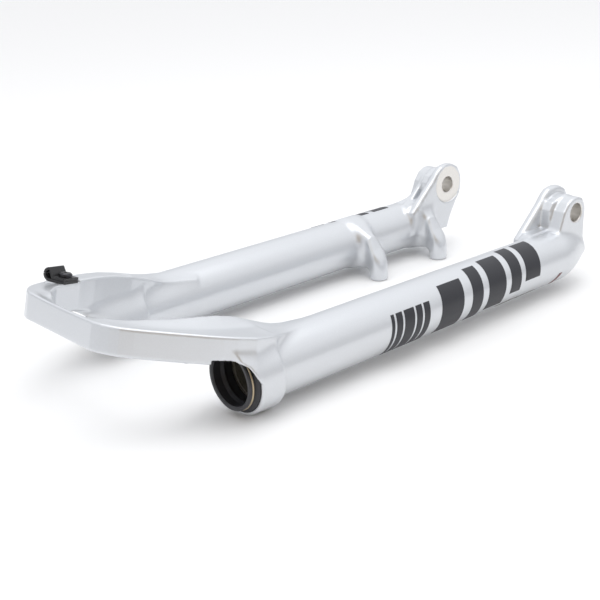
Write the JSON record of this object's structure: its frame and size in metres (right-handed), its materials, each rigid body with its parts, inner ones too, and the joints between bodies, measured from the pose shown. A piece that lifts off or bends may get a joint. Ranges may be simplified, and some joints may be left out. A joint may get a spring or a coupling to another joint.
{
  "type": "suspension fork lower legs",
  "caption": "Lower-leg casting of a bicycle suspension fork: two tubes joined by an arch, with wiper seals, bushings, dropouts, brake posts and a hose clip.",
  "frame": {"origin": "centre of the wheel axle, midway between the two dropouts", "axes": "+X along the legs towards the crown, +Y towards the rider's right leg, +Z towards the front of the bicycle; the part lies on its rear side"},
  "size_m": [0.4478, 0.2002, 0.081],
  "materials": {
    "casting": "satin silver",
    "bushing": "lined bronze",
    "foam": "oiled foam",
    "seal_case": "pressed steel",
    "seal_rubber": "satin black",
    "garter": "dull wire",
    "decal_dark": "film",
    "decal_grey": "film",
    "decal_red": "film",
    "clip": "moulded",
    "screw": "black oxide"
  },
  "bodies": {
    "lowers": {"arch": "casting", "brake_posts": "casting", "hose_clip": "clip", "left_badge_decal": "decal_dark", "left_dropout": "casting", "left_foam_ring": "foam", "left_foot_mark": "decal_red", "left_garter_spring": "garter", "left_label_decal": "decal_grey", "left_leg": "casting", "left_lower_bushing": "bushing", "left_main_decal": "decal_dark", "left_upper_bushing": "bushing", "left_wiper_case": "seal_case", "left_wiper_seal": "seal_rubber", "right_badge_decal": "decal_dark", "right_dropout": "casting", "right_foam_ring": "foam", "right_foot_mark": "decal_red", "right_garter_spring": "garter", "right_label_decal": "decal_grey", "right_leg": "casting", "right_lower_bushing": "bushing", "right_main_decal": "decal_dark", "right_upper_bushing": "bushing", "right_wiper_case": "seal_case", "right_wiper_seal": "seal_rubber"},
    "clip_flap": {"hose_clip_flap": "clip"},
    "clip_screw": {"hose_clip_screw": "screw"}
  },
  "joints": [
    {"name": "clip_screw_out", "type": "slide", "parent": "lowers", "child": "clip_screw", "axis": [-0.2419, 0, 0.9703], "range_m": [0, 0.0065]},
    {"name": "clip_flap_open", "type": "hinge", "parent": "lowers", "child": "clip_flap", "pos_m": [0.39219, -0.06643, 0.01676], "axis": [0.9118, 0.342, 0.2273], "range_deg": [0, 20]}
  ],
  "couplings": [
    {"joint": "clip_flap_open", "follows": "clip_screw_out", "rad_per_m": 53.7}
  ]
}
